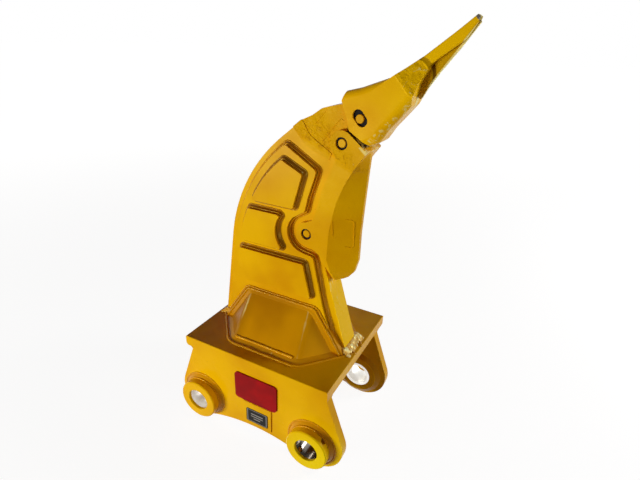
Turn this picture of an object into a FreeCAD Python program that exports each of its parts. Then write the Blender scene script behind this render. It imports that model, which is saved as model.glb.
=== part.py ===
import FreeCAD, Part

# Single-shank ripper for a 20 tonne excavator, standing on its mounting ears with the point up.

import math
import os

import Sketcher
from FreeCAD import Placement, Rotation, Vector

# Driving dimensions, in millimetres and degrees. X runs towards the point, Z runs up,
# and Y = 0 is the middle plane of the shank. Outlines are drawn from the top face of the
# base plate, midway between the two pin bores.
DIMENSIONS = {
    "pin_spacing": 437.0,
    "pin_drop": 227.0,
    "bore_radius": 40.0,
    "bush_wall": 10.0,
    "bush_seat": 10.0,
    "bush_play": 0.05,
    "plate_front": 266.0,
    "plate_rear": 286.0,
    "plate_width": 470.0,
    "plate_thick": 36.0,
    "plate_rear_radius": 12.0,
    "edge_break": 1.5,
    "ear_gap": 352.0,
    "ear_thick": 30.0,
    "ear_rear": 256.0,
    "ear_weld": 10.0,
    "lobe_radius": 97.0,
    "lobe_drop": 219.0,
    "lobe_front_offset": 12.0,
    "lobe_rear_offset": 0.5,
    "arch_drop": 278.0,
    "collar_radius": 72.5,
    "collar_length": 40.0,
    "collar_chamfer": 3.0,
    "mouth_chamfer": 1.5,
    "inner_ring_length": 13.0,
    "collar_weld": 13.0,
    "ring_weld": 11.0,
    "lock_hole_radius": 8.75,
    "lock_hole_angle": 45.0,
    "shank_thick": 78.0,
    "shank_rear_foot": 259.0,
    "shank_front_foot": 236.0,
    "rear_lean": 7.6,
    "rear_bend": 560.0,
    "head_rise": 40.0,
    "front_lean": 17.2,
    "knee_radius": 150.0,
    "joint_x": 43.0,
    "joint_z": 741.0,
    "throat_x": 130.0,
    "throat_z": 430.0,
    "throat_radius": 365.0,
    "throat_end_z": 629.0,
    "doubler_thick": 20.0,
    "doubler_inset": 27.0,
    "doubler_tip": 73.0,
    "doubler_foot": 20.0,
    "doubler_foot_x": 198.0,
    "doubler_knee_x": 147.0,
    "doubler_knee_z": 172.0,
    "doubler_heel": 38.0,
    "doubler_lip": 9.0,
    "notch_radius": 65.0,
    "panel_thick": 20.0,
    "panel_inset": 31.0,
    "panel_tip_z": 632.0,
    "panel_foot": 194.0,
    "panel_low": 341.0,
    "panel_high": 488.0,
    "panel_gap": 31.0,
    "panel_corner": 6.0,
    "panel_top_x": 43.0,
    "panel_heel_x": 83.0,
    "panel_toe_x": 112.0,
    "bead_width": 10.0,
    "bead_height": 9.0,
    "boot_height": 140.0,
    "boot_wall": 13.0,
    "boot_corner": 35.0,
    "boot_rear": 134.0,
    "boot_front": 118.0,
    "boot_reach": 170.0,
    "boot_wing_rear": 246.0,
    "boot_wing_front": 231.0,
    "boot_top_rear": 126.0,
    "boot_top_front": 112.0,
    "boot_top_reach": 71.0,
    "boot_top_corner": 12.0,
    "foot_weld": 15.0,
    "foot_weld_height": 13.0,
    "boot_weld": 17.0,
    "end_weld": 20.0,
    "end_weld_end": 9.0,
    "end_weld_near": 54.0,
    "end_weld_far": 72.0,
    "adapter_weld": 2.0,
    "adapter_weld_width": 28.0,
    "cheek_thick": 14.5,
    "cheek_play": 0.5,
    "upper_lug_radius": 36.0,
    "lower_lug_radius": 33.0,
    "keel_nose": 7.0,
    "upper_pin_x": 182.0,
    "upper_pin_z": 699.0,
    "lower_pin_x": 79.0,
    "lower_pin_z": 404.0,
    "pin_radius": 12.0,
    "pin_play": 0.3,
    "pin_chamfer": 1.5,
    "pin_recess": 3.0,
    "pin_hole_radius": 18.0,
    "retainer_thick": 8.0,
    "retainer_play": 0.2,
    "tooth_root_x": 219.5,
    "tooth_root_z": 752.0,
    "tooth_angle": 42.0,
    "tooth_width": 111.0,
    "tooth_step": 172.0,
    "shoulder_length": 12.0,
    "neck_width": 96.0,
    "neck_length": 50.0,
    "blade_width": 52.0,
    "tip_width": 32.0,
    "tooth_length": 378.0,
    "tooth_front_ease": 25.0,
    "tooth_back_ease": 18.0,
    "blade_ease": 4.0,
    "fin_thick": 10.0,
    "socket_play": 0.5,
    "nose_overlap": 40.0,
    "nose_front": 52.0,
    "nose_back": 54.0,
    "nose_width": 74.0,
    "nose_reach": 125.0,
    "nose_tip_front": 34.0,
    "nose_tip_back": 30.0,
    "nose_tip_width": 56.0,
    "tooth_pin_x": 230.0,
    "tooth_pin_z": 770.0,
    "slot_x": 231.5,
    "slot_z": 772.5,
    "slot_half_width": 16.0,
    "slot_travel": 17.0,
    "slot_tilt": -50.0,
    "lock_thick": 10.0,
    "badge_rear": 77.0,
    "badge_drop": 60.0,
    "badge_length": 165.0,
    "badge_height": 108.0,
    "badge_thick": 5.0,
    "badge_corner": 14.0,
    "label_base_rear": 46.0,
    "label_base_length": 112.0,
    "label_base_height": 94.0,
    "label_base_thick": 4.0,
    "label_length": 86.0,
    "label_height": 56.0,
    "label_thick": 1.5,
    "label_corner": 5.0,
    "label_margin_low": 13.0,
}


class Size:
    """A number together with the sheet expression that gives it."""

    def __init__(self, value, text):
        self.value = value
        self.text = text

    def __float__(self):
        return self.value

    def __neg__(self):
        return Size(-self.value, "(-1 * %s)" % self.text)

    def __add__(self, other):
        other = as_size(other)
        return Size(self.value + other.value, "(%s + %s)" % (self.text, other.text))

    def __sub__(self, other):
        other = as_size(other)
        return Size(self.value - other.value, "(%s - %s)" % (self.text, other.text))

    def __mul__(self, other):
        other = as_size(other)
        return Size(self.value * other.value, "(%s * %s)" % (self.text, other.text))

    def __truediv__(self, other):
        other = as_size(other)
        return Size(self.value / other.value, "(%s / %s)" % (self.text, other.text))


class Named:
    """The driving dimensions by name."""

    def __init__(self, values):
        for name, value in values.items():
            setattr(self, name, Size(value, "Sizes." + name))


def as_size(value):
    if isinstance(value, Size):
        return value
    return Size(float(value), repr(float(value)))


os.makedirs("parts", exist_ok=True)
doc = FreeCAD.newDocument("ripper")
d = Named(DIMENSIONS)
pieces = []


def fill_sheet():
    sheet = doc.addObject("Spreadsheet::Sheet", "Sizes")
    for row, (name, value) in enumerate(DIMENSIONS.items(), start=1):
        sheet.set("A%d" % row, name.replace("_", " "))
        sheet.set("B%d" % row, str(value))
        sheet.setAlias("B%d" % row, name)
    doc.recompute()


# Plane geometry for the outlines.


def point(x, z):
    return Vector(float(x), float(z), 0)


def polar(centre, radius, degrees):
    angle = math.radians(float(degrees))
    return centre + Vector(math.cos(angle), math.sin(angle), 0) * float(radius)


def crossing(first, along_first, second, along_second):
    """Where two lines meet, each given by a point and a direction."""
    across = along_first.x * along_second.y - along_first.y * along_second.x
    gap = second - first
    share = (gap.x * along_second.y - gap.y * along_second.x) / across
    return first + along_first * share


def turned_left(way):
    return Vector(-way.y, way.x, 0)


def between(first, second):
    way = second - first
    return way / way.Length


def grown(corners, amount):
    """A closed outline of (point, radius) corners moved outward, or inward if negative."""
    count = len(corners)
    area = 0.0
    for index in range(count):
        here = corners[index][0]
        following = corners[(index + 1) % count][0]
        area += here.x * following.y - following.x * here.y
    outward = -float(amount) if area > 0 else float(amount)
    result = []
    for index in range(count):
        before = corners[index - 1][0]
        here, radius = corners[index]
        following = corners[(index + 1) % count][0]
        way_in = between(before, here)
        way_out = between(here, following)
        first = here + turned_left(way_in) * outward
        second = here + turned_left(way_out) * outward
        turn = way_in.x * way_out.y - way_in.y * way_out.x
        corner = first if abs(turn) < 1e-9 else crossing(first, way_in, second, way_out)
        convex = turn * area > 0
        change = float(amount) if convex else -float(amount)
        result.append((corner, max(radius + change, 0.0) if radius else 0.0))
    return result


def rounded(corners):
    """Lines and arcs round a closed outline of (point, radius) corners."""
    count = len(corners)
    cuts = []
    for index in range(count):
        here, radius = corners[index]
        way_in = between(corners[index - 1][0], here)
        way_out = between(here, corners[(index + 1) % count][0])
        half_turn = way_in.getAngle(way_out) / 2
        cut = radius * math.tan(half_turn)
        start = here - way_in * cut
        end = here + way_out * cut
        side = 1.0 if way_in.x * way_out.y - way_in.y * way_out.x > 0 else -1.0
        cuts.append((start, end, start + turned_left(way_in) * side * radius, radius, side))
    edges = []
    for index in range(count):
        start, end, centre, radius, side = cuts[index]
        if radius > 0:
            edges.append(("arc", start, end, centre, radius, side))
        following = cuts[(index + 1) % count][0]
        if (following - end).Length > 1e-4:
            edges.append(("line", end, following))
    return edges


def arc(centre, radius, start, end, side):
    """An arc from one angle to another, anticlockwise when side is 1."""
    return ("arc", polar(centre, radius, start), polar(centre, radius, end), centre, float(radius), side)


def line(start, end):
    return ("line", start, end)


def arc_corner(centre, radius, start, end):
    """Corner whose rounding follows a circle from one angle to another."""
    half = math.radians(end - start) / 2
    return polar(centre, radius / math.cos(half), (start + end) / 2), radius


def touch_angle(centre, radius, corner, side):
    """Angle at which a line from a corner touches a circle; side 1 or -1 picks the line."""
    way = corner - centre
    return math.degrees(math.atan2(way.y, way.x) + side * math.acos(float(radius) / way.Length))


# Bodies and their sketches.


def new_body(label):
    body = doc.addObject("PartDesign::Body", label)
    body.Label = label
    return body


def new_sketch(body, role, offset=None):
    sketch = body.newObject("Sketcher::SketchObject", body.Label + "_sketch")
    plane = [item for item in body.Origin.OriginFeatures if item.Role == role][0]
    sketch.AttachmentSupport = [(plane, "")]
    sketch.MapMode = "FlatFace"
    if offset is not None:
        sketch.setExpression("AttachmentOffset.Base.z", as_size(offset).text)
    return sketch


def draw(sketch, edges):
    """Add a closed chain of lines and arcs, joined end to end."""
    ends = []
    for edge in edges:
        if edge[0] == "line":
            number = sketch.addGeometry(Part.LineSegment(edge[1], edge[2]))
            ends.append((number, 1, 2))
            continue
        start, end, centre, radius, side = edge[1:]
        first, last = (start, end) if side > 0 else (end, start)
        begin = math.atan2(first.y - centre.y, first.x - centre.x)
        finish = math.atan2(last.y - centre.y, last.x - centre.x)
        if finish < begin:
            finish += 2 * math.pi
        circle = Part.Circle(centre, Vector(0, 0, 1), radius)
        number = sketch.addGeometry(Part.ArcOfCircle(circle, begin, finish))
        ends.append((number, 1, 2) if side > 0 else (number, 2, 1))
    for index, (number, _, finish) in enumerate(ends):
        following = ends[(index + 1) % len(ends)]
        sketch.addConstraint(Sketcher.Constraint("Coincident", number, finish, following[0], following[1]))


def bound(sketch, kind, number, place, value):
    """Hold one coordinate of a point to a size from the sheet."""
    value = as_size(value)
    index = sketch.addConstraint(Sketcher.Constraint(kind, -1, 1, number, place, value.value))
    sketch.setExpression("Constraints[%d]" % index, value.text)


def polygon(sketch, corners):
    """Add a closed polygon whose corners are all held to sizes from the sheet."""
    first = sketch.GeometryCount
    count = len(corners)
    for index, corner in enumerate(corners):
        following = corners[(index + 1) % count]
        sketch.addGeometry(Part.LineSegment(point(*corner), point(*following)))
    for index, corner in enumerate(corners):
        following = first + (index + 1) % count
        sketch.addConstraint(Sketcher.Constraint("Coincident", first + index, 2, following, 1))
        bound(sketch, "DistanceX", first + index, 1, corner[0])
        bound(sketch, "DistanceY", first + index, 1, corner[1])


def circle(sketch, x, z, radius):
    radius = as_size(radius)
    number = sketch.addGeometry(Part.Circle(point(x, z), Vector(0, 0, 1), radius.value))
    index = sketch.addConstraint(Sketcher.Constraint("Radius", number, radius.value))
    sketch.setExpression("Constraints[%d]" % index, radius.text)
    bound(sketch, "DistanceX", number, 3, x)
    bound(sketch, "DistanceY", number, 3, z)


def pad(body, sketch, length, reverse=False, middle=False):
    feature = body.newObject("PartDesign::Pad", body.Label + "_pad")
    feature.Profile = sketch
    feature.Reversed = reverse
    if middle:
        feature.SideType = "Symmetric"
    feature.setExpression("Length", as_size(length).text)
    return feature


def pocket_through(body, sketch):
    """Cut a sketch right through the body, both ways from its plane."""
    feature = body.newObject("PartDesign::Pocket", body.Label + "_pocket")
    feature.Profile = sketch
    feature.Type = "ThroughAll"
    feature.SideType = "Symmetric"
    return feature


def slab(body, edges, low, high):
    """Pad a side-view outline from one distance across to another."""
    low = as_size(low)
    high = as_size(high)
    sketch = new_sketch(body, "XZ_Plane", -high)
    draw(sketch, edges)
    return pad(body, sketch, high - low)


def loft(body, sketches, kind="PartDesign::AdditiveLoft", ruled=True):
    feature = body.newObject(kind, body.Label + "_loft")
    feature.Profile = sketches[0]
    feature.Sections = sketches[1:]
    feature.Ruled = ruled
    return feature


def edges_where(shape, test):
    """Names of the edges whose middle point passes a test."""
    names = []
    for number, edge in enumerate(shape.Edges, start=1):
        middle = edge.valueAt((edge.FirstParameter + edge.LastParameter) / 2)
        if test(middle, edge):
            names.append("Edge%d" % number)
    return names


def ease(body, kind, size, test):
    """Fillet or chamfer the edges of a body that pass a test."""
    doc.recompute()
    base = body.Tip
    names = edges_where(base.Shape, test)
    feature = body.newObject("PartDesign::" + kind, body.Label + "_" + kind.lower())
    feature.Base = (base, names)
    feature.setExpression("Radius" if kind == "Fillet" else "Size", as_size(size).text)
    return feature


def place(item, x=0, y=0, z=0, rotation=None):
    """Put a piece drawn in the plate's frame into the part's, whose origin is the stick bore."""
    item.Placement = Placement(Vector(0, 0, 0), rotation or Rotation())
    item.setExpression("Placement.Base.x", (as_size(x) - d.pin_spacing / 2).text)
    item.setExpression("Placement.Base.y", as_size(y).text)
    item.setExpression("Placement.Base.z", (as_size(z) + d.pin_drop).text)
    return item


def keep(item):
    pieces.append(item)
    return item


def group(label, items):
    """Several like pieces under one name."""
    item = doc.addObject("Part::Compound", label)
    item.Links = items
    item.Label = label
    return keep(item)


def boolean(kind, label, base, tools):
    """A fuse, cut or common of placed pieces, itself placed at the part's origin."""
    if kind == "Part::Cut":
        item = doc.addObject(kind, label)
        item.Base = base
        tool = tools[0]
        if len(tools) > 1:
            tool = doc.addObject("Part::MultiFuse", label + "_tools")
            tool.Shapes = tools
        item.Tool = tool
    else:
        item = doc.addObject(kind, label)
        item.Shapes = [base] + tools
    item.Label = label
    return item


# Mounting frame: base plate, ears and bored bosses.


def make_base_plate():
    body = new_body("base_plate")
    half = d.plate_width / 2
    sketch = new_sketch(body, "XY_Plane")
    rear, front = -d.plate_rear, d.plate_front
    polygon(sketch, [(rear, -half), (front, -half), (front, half), (rear, half)])
    pad(body, sketch, d.plate_thick, reverse=True)
    low = -float(d.plate_thick)
    ease(body, "Fillet", d.plate_rear_radius, lambda p, e: abs(p.x - rear.value) < 1 and abs(p.z - low) < 1)
    ease(body, "Chamfer", d.edge_break, lambda p, e: abs(p.z) < 0.1)
    keep(place(body))


def ear_edges():
    """Side view of an ear: two bored lobes, sloping ends and an arched lower edge."""
    top = -d.plate_thick
    half_spacing = d.pin_spacing / 2
    front_lobe = point(half_spacing + d.lobe_front_offset, -d.lobe_drop)
    rear_lobe = point(-half_spacing - d.lobe_rear_offset, -d.lobe_drop)
    radius = float(d.lobe_radius)
    front_top = point(d.plate_front, top)
    rear_top = point(-d.ear_rear, top)
    front_angle = touch_angle(front_lobe, radius, front_top, -1)
    rear_angle = touch_angle(rear_lobe, radius, rear_top, 1)
    # The arch touches both lobes from outside, with its top at the arch drop.
    half_span = (front_lobe.x - rear_lobe.x) / 2
    rise = float(d.arch_drop - d.lobe_drop)
    arch = (half_span**2 + rise**2 - radius**2) / (2 * (radius - rise))
    centre = point((front_lobe.x + rear_lobe.x) / 2, -float(d.arch_drop) - arch)
    lean = math.degrees(math.atan2(half_span, front_lobe.y - centre.y))
    return [
        line(rear_top, front_top),
        line(front_top, polar(front_lobe, radius, front_angle)),
        arc(front_lobe, radius, front_angle, -90 - lean, -1),
        arc(centre, arch, 90 - lean, 90 + lean, 1),
        arc(rear_lobe, radius, -90 + lean, rear_angle - 360, -1),
        line(polar(rear_lobe, radius, rear_angle), rear_top),
    ]


def ear_span(near):
    """Low and high distance across of an ear."""
    if near:
        low = -d.plate_width / 2
        return low, low + d.ear_thick
    low = -d.plate_width / 2 + d.ear_thick + d.ear_gap
    return low, low + d.ear_thick


def make_ear(label, near):
    body = new_body(label)
    low, high = ear_span(near)
    slab(body, ear_edges(), low, high)
    bores = new_sketch(body, "XZ_Plane")
    for side in (-1, 1):
        circle(bores, d.pin_spacing / 2 * side, -d.pin_drop, d.bore_radius + d.bush_wall + d.bush_play)
    pocket_through(body, bores)
    keep(place(body))


def make_ear_weld(label, near):
    """Fillet weld where the plate overhangs the last ear, along its faces and its rear end."""
    body = new_body(label + "_fillet")
    low, high = ear_span(near)
    leg = d.ear_weld
    outer_low = low if near else low - leg
    top = new_sketch(body, "XY_Plane", -d.plate_thick)
    wide = [(-d.ear_rear - leg, outer_low), (d.plate_front, outer_low)]
    wide += [(d.plate_front, high + leg), (-d.ear_rear - leg, high + leg)]
    polygon(top, wide)
    toe = new_sketch(body, "XY_Plane", -d.plate_thick - leg)
    ear = [(-d.ear_rear, low), (d.plate_front, low), (d.plate_front, high), (-d.ear_rear, high)]
    polygon(toe, ear)
    loft(body, [top, toe])
    keep(boolean("Part::Cut", label, place(body), [pieces[-1]]))


def boss_place(body, near, front, turn=0):
    """Set a turned piece on an ear's outer face, its own Z pointing out along the bore."""
    low, high = ear_span(near)
    x = d.pin_spacing / 2 * (1 if front else -1)
    rotation = Rotation(Vector(1, 0, 0), 90 if near else -90) * Rotation(Vector(0, 0, 1), turn)
    return place(body, x, low if near else high, -d.pin_drop, rotation)


def turned(label, corners):
    """A ring turned from a section of (radius, height along the bore) corners."""
    body = new_body(label)
    sketch = new_sketch(body, "XZ_Plane")
    polygon(sketch, corners)
    feature = body.newObject("PartDesign::Revolution", label + "_turning")
    feature.Profile = sketch
    feature.ReferenceAxis = (sketch, ["V_Axis"])
    feature.Angle = 360
    return body


def lock_hole(body):
    """Cross hole for the pin's lock bolt, through both walls at half the collar's length."""
    sketch = new_sketch(body, "YZ_Plane")
    circle(sketch, 0, d.collar_length / 2, d.lock_hole_radius)
    pocket_through(body, sketch)


def make_collar(label, near, front):
    seat = d.bore_radius + d.bush_wall + d.bush_play
    ledge = d.collar_length - d.bush_seat
    mouth = d.bore_radius + d.mouth_chamfer
    section = [(seat, 0), (d.collar_radius, 0), (d.collar_radius, d.collar_length - d.collar_chamfer)]
    section += [(d.collar_radius - d.collar_chamfer, d.collar_length), (mouth, d.collar_length)]
    section += [(d.bore_radius, d.collar_length - d.mouth_chamfer), (d.bore_radius, ledge), (seat, ledge)]
    body = turned(label, section)
    if near and front:
        lock_hole(body)
    keep(boss_place(body, near, front, d.lock_hole_angle.value))


def make_bush(label, near, front):
    outer = d.bore_radius + d.bush_wall
    top = d.collar_length - d.bush_seat
    bottom = -d.ear_thick - d.inner_ring_length
    body = turned(label, [(d.bore_radius, bottom), (outer, bottom), (outer, top), (d.bore_radius, top)])
    if near and front:
        lock_hole(body)
    keep(boss_place(body, near, front, d.lock_hole_angle.value))


def make_inner_ring(label, near, front):
    inner = d.bore_radius + d.bush_wall + d.bush_play
    top = -d.ear_thick
    bottom = top - d.inner_ring_length
    edge = d.edge_break
    section = [(inner, bottom), (d.collar_radius - edge, bottom), (d.collar_radius, bottom + edge)]
    section += [(d.collar_radius, top), (inner, top)]
    keep(boss_place(turned(label, section), near, front))


def make_boss_weld(label, near, front, base, height, width):
    """Fillet weld round a boss where it stands on an ear; a negative height faces inward."""
    belly = 0.45
    radius = d.collar_radius
    section = [(radius, base), (radius + width, base), (radius + width * belly, base + height * belly * 1.25)]
    section += [(radius, base + height)]
    return boss_place(turned(label, section), near, front)


def make_mounting():
    make_base_plate()
    for near, side in ((True, "near"), (False, "far")):
        make_ear(side + "_ear", near)
        make_ear_weld(side + "_ear_weld", near)
        collar_welds = []
        ring_welds = []
        for front, end in ((True, "front"), (False, "rear")):
            name = "%s_%s_" % (side, end)
            make_collar(name + "collar", near, front)
            make_bush(name + "bush", near, front)
            make_inner_ring(name + "inner_ring", near, front)
            leg = d.collar_weld
            collar_welds.append(make_boss_weld(name + "collar_bead", near, front, as_size(0), leg, leg))
            leg = d.ring_weld
            ring_welds.append(make_boss_weld(name + "ring_bead", near, front, -d.ear_thick, -leg, leg * 1.5))
        group(side + "_collar_welds", collar_welds)
        group(side + "_ring_welds", ring_welds)


# Shank: a curved plate with doublers, raised panels and weld beads on both sides.


def rear_line(inset):
    """Foot point and direction of the straight lower rear edge, moved in by an inset."""
    lean = math.radians(float(d.rear_lean))
    way = Vector(math.sin(lean), math.cos(lean), 0)
    foot = point(-d.shank_rear_foot, 0)
    return foot - turned_left(way) * float(inset), way


def head_line(inset):
    """Joint corner and direction of the straight upper rear edge, moved in by an inset."""
    rise = math.radians(float(d.head_rise))
    way = Vector(math.cos(rise), math.sin(rise), 0)
    return point(d.joint_x, d.joint_z) - turned_left(way) * float(inset), way


def rear_corner(inset):
    """Corner between both rear lines, with the radius of the bend there."""
    foot, up = rear_line(inset)
    joint, along = head_line(inset)
    return crossing(foot, up, joint, along), float(d.rear_bend) - float(inset)


def rear_bend(inset):
    """Centre, start angle and end angle of the rear bend."""
    corner, radius = rear_corner(inset)
    lean = float(d.rear_lean)
    rise = float(d.head_rise)
    half_turn = math.radians((90 - lean - rise) / 2)
    start = corner - rear_line(inset)[1] * radius * math.tan(half_turn)
    centre = start - turned_left(rear_line(inset)[1]) * radius
    return centre, 180 - lean, 90 + rise


def rear_stretch(inset, low, high, room=0.0):
    """Corners that follow the rear edge at an inset, upward from one height to another.

    The room is kept free at both ends of the bend for the rounding of the end corners.
    """
    centre, begin, end = rear_bend(inset)
    radius = rear_corner(inset)[1]
    bend_low = polar(centre, radius, begin).y
    bend_high = polar(centre, radius, end).y
    foot, up = rear_line(inset)
    corners = []
    if low < bend_low:
        corners.append((foot + up * ((low - foot.y) / up.y), 0))
    if high <= bend_low:
        return corners + [(foot + up * ((high - foot.y) / up.y), 0)]
    first = begin if low < bend_low else 180 - math.degrees(math.asin((low - centre.y) / radius))
    last = end if high > bend_high else 180 - math.degrees(math.asin((high - centre.y) / radius))
    if low >= bend_low:
        corners.append((polar(centre, radius, first), 0))
    half = math.radians(first - last) / 2
    turn = radius * math.tan(half)
    middle = polar(centre, radius / math.cos(half), (first + last) / 2)
    corners.append((middle, radius * (turn - room) / turn))
    if high <= bend_high:
        corners.append((polar(centre, radius, last), 0))
    return corners


def joint_corners():
    """Welded joint between shank and adapter, from the back to the throat."""
    end = throat_point(d.throat_end_z)
    return [point(d.joint_x, d.joint_z), point(d.joint_x + 29, d.joint_z - 38), end]


def throat_point(z):
    """Point of the throat curve in front of the shank at a height."""
    radius = float(d.throat_radius)
    rise = float(z) - float(d.throat_z)
    return point(float(d.throat_x) + radius - math.sqrt(radius**2 - rise**2), z)


def shank_edges():
    """Side view of the shank, from its foot up the rear edge and down the throat."""
    lean = math.radians(float(d.front_lean))
    foot = point(d.shank_front_foot, 0)
    knee = point(d.throat_x, 0)
    knee.y = (foot.x - knee.x) / math.tan(lean)
    radius = float(d.knee_radius)
    back, middle, front = joint_corners()
    centre = point(float(d.throat_x) + float(d.throat_radius), d.throat_z)
    sweep = math.degrees(math.asin((front.y - centre.y) / float(d.throat_radius)))
    half_turn = lean / 2
    cut = radius * math.tan(half_turn)
    slope = between(knee, foot)
    start = point(d.throat_x, knee.y + cut)
    finish = knee + slope * cut
    knee_centre = start + Vector(radius, 0, 0)
    corner, bend = rear_corner(0)
    bend_centre, begin, end = rear_bend(0)
    return [
        line(point(-d.shank_rear_foot, 0), polar(bend_centre, bend, begin)),
        arc(bend_centre, bend, begin, end, -1),
        line(polar(bend_centre, bend, end), back),
        line(back, middle),
        line(middle, front),
        arc(centre, d.throat_radius, 180 - sweep, 180, 1),
        line(point(d.throat_x, d.throat_z), start),
        arc(knee_centre, radius, 180, 180 + math.degrees(lean), 1),
        line(finish, foot),
        line(foot, point(-d.shank_rear_foot, 0)),
    ]


def make_shank():
    body = new_body("shank")
    slab(body, shank_edges(), -d.shank_thick / 2, d.shank_thick / 2)
    hole = new_sketch(body, "XZ_Plane")
    circle(hole, d.lower_pin_x, d.lower_pin_z, d.pin_radius + d.pin_play)
    pocket_through(body, hole)
    keep(place(body))


def doubler_corners():
    """Side view of a doubler: along the rear edge, round the lug notch, down the front."""
    inset = float(d.doubler_inset)
    foot, up = rear_line(inset)
    joint, along = head_line(inset)
    pin = point(d.lower_pin_x, d.lower_pin_z)
    notch = float(d.notch_radius)
    tip = joint - along * float(d.doubler_tip)
    lip = pin + point(-5, notch + float(d.doubler_lip))
    start = touch_angle(pin, notch, lip, 1)
    finish = 262
    middle = (start + finish) / 2
    notch_end = polar(pin, notch, finish)
    heel = notch_end + turned_left(between(pin, notch_end)) * float(d.doubler_heel)
    corners = [(foot + up * ((float(d.doubler_foot) - foot.y) / up.y), 0), rear_corner(inset), (tip, 9)]
    corners += [(tip + point(106, -63), 12), (lip + point(10, 46), 120), (lip, 8)]
    corners += [arc_corner(pin, notch, start, middle), arc_corner(pin, notch, middle, finish), (heel, 12)]
    knee = point(d.doubler_knee_x, d.doubler_knee_z)
    return corners + [(knee, 60), (point(d.doubler_foot_x, d.doubler_foot), 0)]


def side_span(near, inner, thick):
    """Low and high distance across of a layer that starts at a distance from the middle."""
    if near:
        return -(inner + thick), -inner
    return inner, inner + thick


def make_doubler(label, near):
    body = new_body(label)
    low, high = side_span(near, d.shank_thick / 2, d.doubler_thick)
    slab(body, rounded(doubler_corners()), low, high)
    return keep(place(body))


def panel_corners():
    """Side views of the three raised panels of one side, from the top down."""
    inset = float(d.doubler_inset) + float(d.panel_inset)
    pin = point(d.lower_pin_x, d.lower_pin_z)
    sweep = float(d.notch_radius) + float(d.panel_inset)
    levels = [float(value) for value in (d.panel_foot, d.panel_low, d.panel_high)]
    gap = float(d.panel_gap)
    small = float(d.panel_corner)
    room = 11.0
    upper = rear_stretch(inset, levels[2], float(d.panel_tip_z), room)
    tip = upper[-1][0]
    upper[0] = (upper[0][0], small)
    upper[-1] = (tip, small)
    upper += [(tip + point(70, -33), 8), (point(d.panel_top_x, levels[2]), small)]
    low, high = levels[1], levels[2] - gap
    middle = rear_stretch(inset, low, high, room)
    middle[0] = (middle[0][0], small)
    middle[-1] = (middle[-1][0], small)
    first = 180 - math.degrees(math.asin((high - small - pin.y) / sweep))
    last = 180 - math.degrees(math.asin((low - pin.y) / sweep))
    corner = arc_corner(pin, sweep, first, last)
    middle += [(point(-13, high), 0), (polar(pin, sweep, first), 2), (corner[0], sweep * 0.88)]
    middle += [(polar(pin, sweep, last), small)]
    low, high = levels[0], levels[1] - gap
    lower = rear_stretch(inset, low, high)
    lower[0] = (lower[0][0], 10)
    lower[-1] = (lower[-1][0], small)
    lower += [(point(d.panel_heel_x, high), 8), (point(d.panel_toe_x, low), small)]
    return [upper, middle, lower]


def make_panels(side, near):
    inner = d.shank_thick / 2 + d.doubler_thick
    beads = []
    for name, corners in zip(("upper", "middle", "lower"), panel_corners()):
        body = new_body("%s_%s_panel" % (side, name))
        slab(body, rounded(corners), *side_span(near, inner, d.panel_thick))
        keep(place(body))
        beads.append(place(make_bead("%s_%s_bead" % (side, name), corners, near, inner)))
    group(side + "_panel_beads", beads)


def make_bead(label, corners, near, inner):
    """Weld bead round a plate, standing on the layer below and leaning on the plate's edge."""
    body = new_body(label)
    width = float(d.bead_width)
    toe = new_sketch(body, "XZ_Plane", inner if near else -inner)
    draw(toe, rounded(grown(corners, width)))
    waist = new_sketch(body, "XZ_Plane", inner + d.bead_height if near else -inner - d.bead_height)
    draw(waist, rounded(grown(corners, width * 0.35)))
    loft(body, [toe, waist])
    hollow = new_sketch(body, "XZ_Plane")
    draw(hollow, rounded(corners))
    pocket_through(body, hollow)
    return body


# Adapter nose, tooth and tooth pin, drawn along the tooth's own axis.


def tooth_rotation():
    return Rotation(Vector(0, 1, 0), 90 - d.tooth_angle.value)


def tooth_place(item):
    return place(item, d.tooth_root_x, 0, d.tooth_root_z, tooth_rotation())


def in_tooth(x, z):
    """Side-view point of the plate's frame in the tooth's frame, whose Z runs to the tip."""
    angle = math.radians(float(d.tooth_angle))
    along = Vector(math.cos(angle), math.sin(angle), 0)
    gap = point(x, z) - point(d.tooth_root_x, d.tooth_root_z)
    return Vector(-gap.dot(turned_left(along)), gap.dot(along), 0)


def nose_section(body, offset, front, back, width, play):
    sketch = new_sketch(body, "XY_Plane", offset)
    half = as_size(width) / 2 + play
    front = as_size(front) + play
    back = as_size(back) + play
    polygon(sketch, [(-back, -half), (front, -half), (front, half), (-back, half)])
    return sketch


def make_nose_body(label, play):
    """Tapered nose that the tooth slides over, grown by a play for the socket."""
    body = new_body(label)
    root = nose_section(body, -d.nose_overlap, d.nose_front, d.nose_back, d.nose_width, play)
    tip = nose_section(body, d.nose_reach + play, d.nose_tip_front, d.nose_tip_back, d.nose_tip_width, play)
    loft(body, [root, tip])
    return tooth_place(body)


def adapter_edges():
    """Side view of the adapter between the shank joint and the tooth's rear edge."""
    back, middle, front = joint_corners()
    corners = [(back, 0), (middle, 0), (front, 0), (point(239, 690), 0)]
    corners += [(point(196, 738), 10), (point(187, 768), 10), (point(171, 801), 6)]
    corners += [(point(147, 795), 40), (point(112, 785), 40), (point(82, 763), 20), (point(52, 748), 5)]
    return rounded(corners)


def make_adapter():
    root = new_body("adapter_root")
    slab(root, adapter_edges(), -d.shank_thick / 2, d.shank_thick / 2)
    place(root)
    nose = make_nose_body("adapter_tenon", as_size(0))
    whole = boolean("Part::MultiFuse", "adapter_whole", root, [nose])
    holes = []
    for name, x, z in (("upper", d.upper_pin_x, d.upper_pin_z), ("tooth", d.tooth_pin_x, d.tooth_pin_z)):
        holes.append(pin_bore("adapter_%s_bore" % name, x, z, d.pin_radius + d.pin_play, d.tooth_width))
    keep(boolean("Part::Cut", "adapter_nose", whole, holes))


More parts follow.
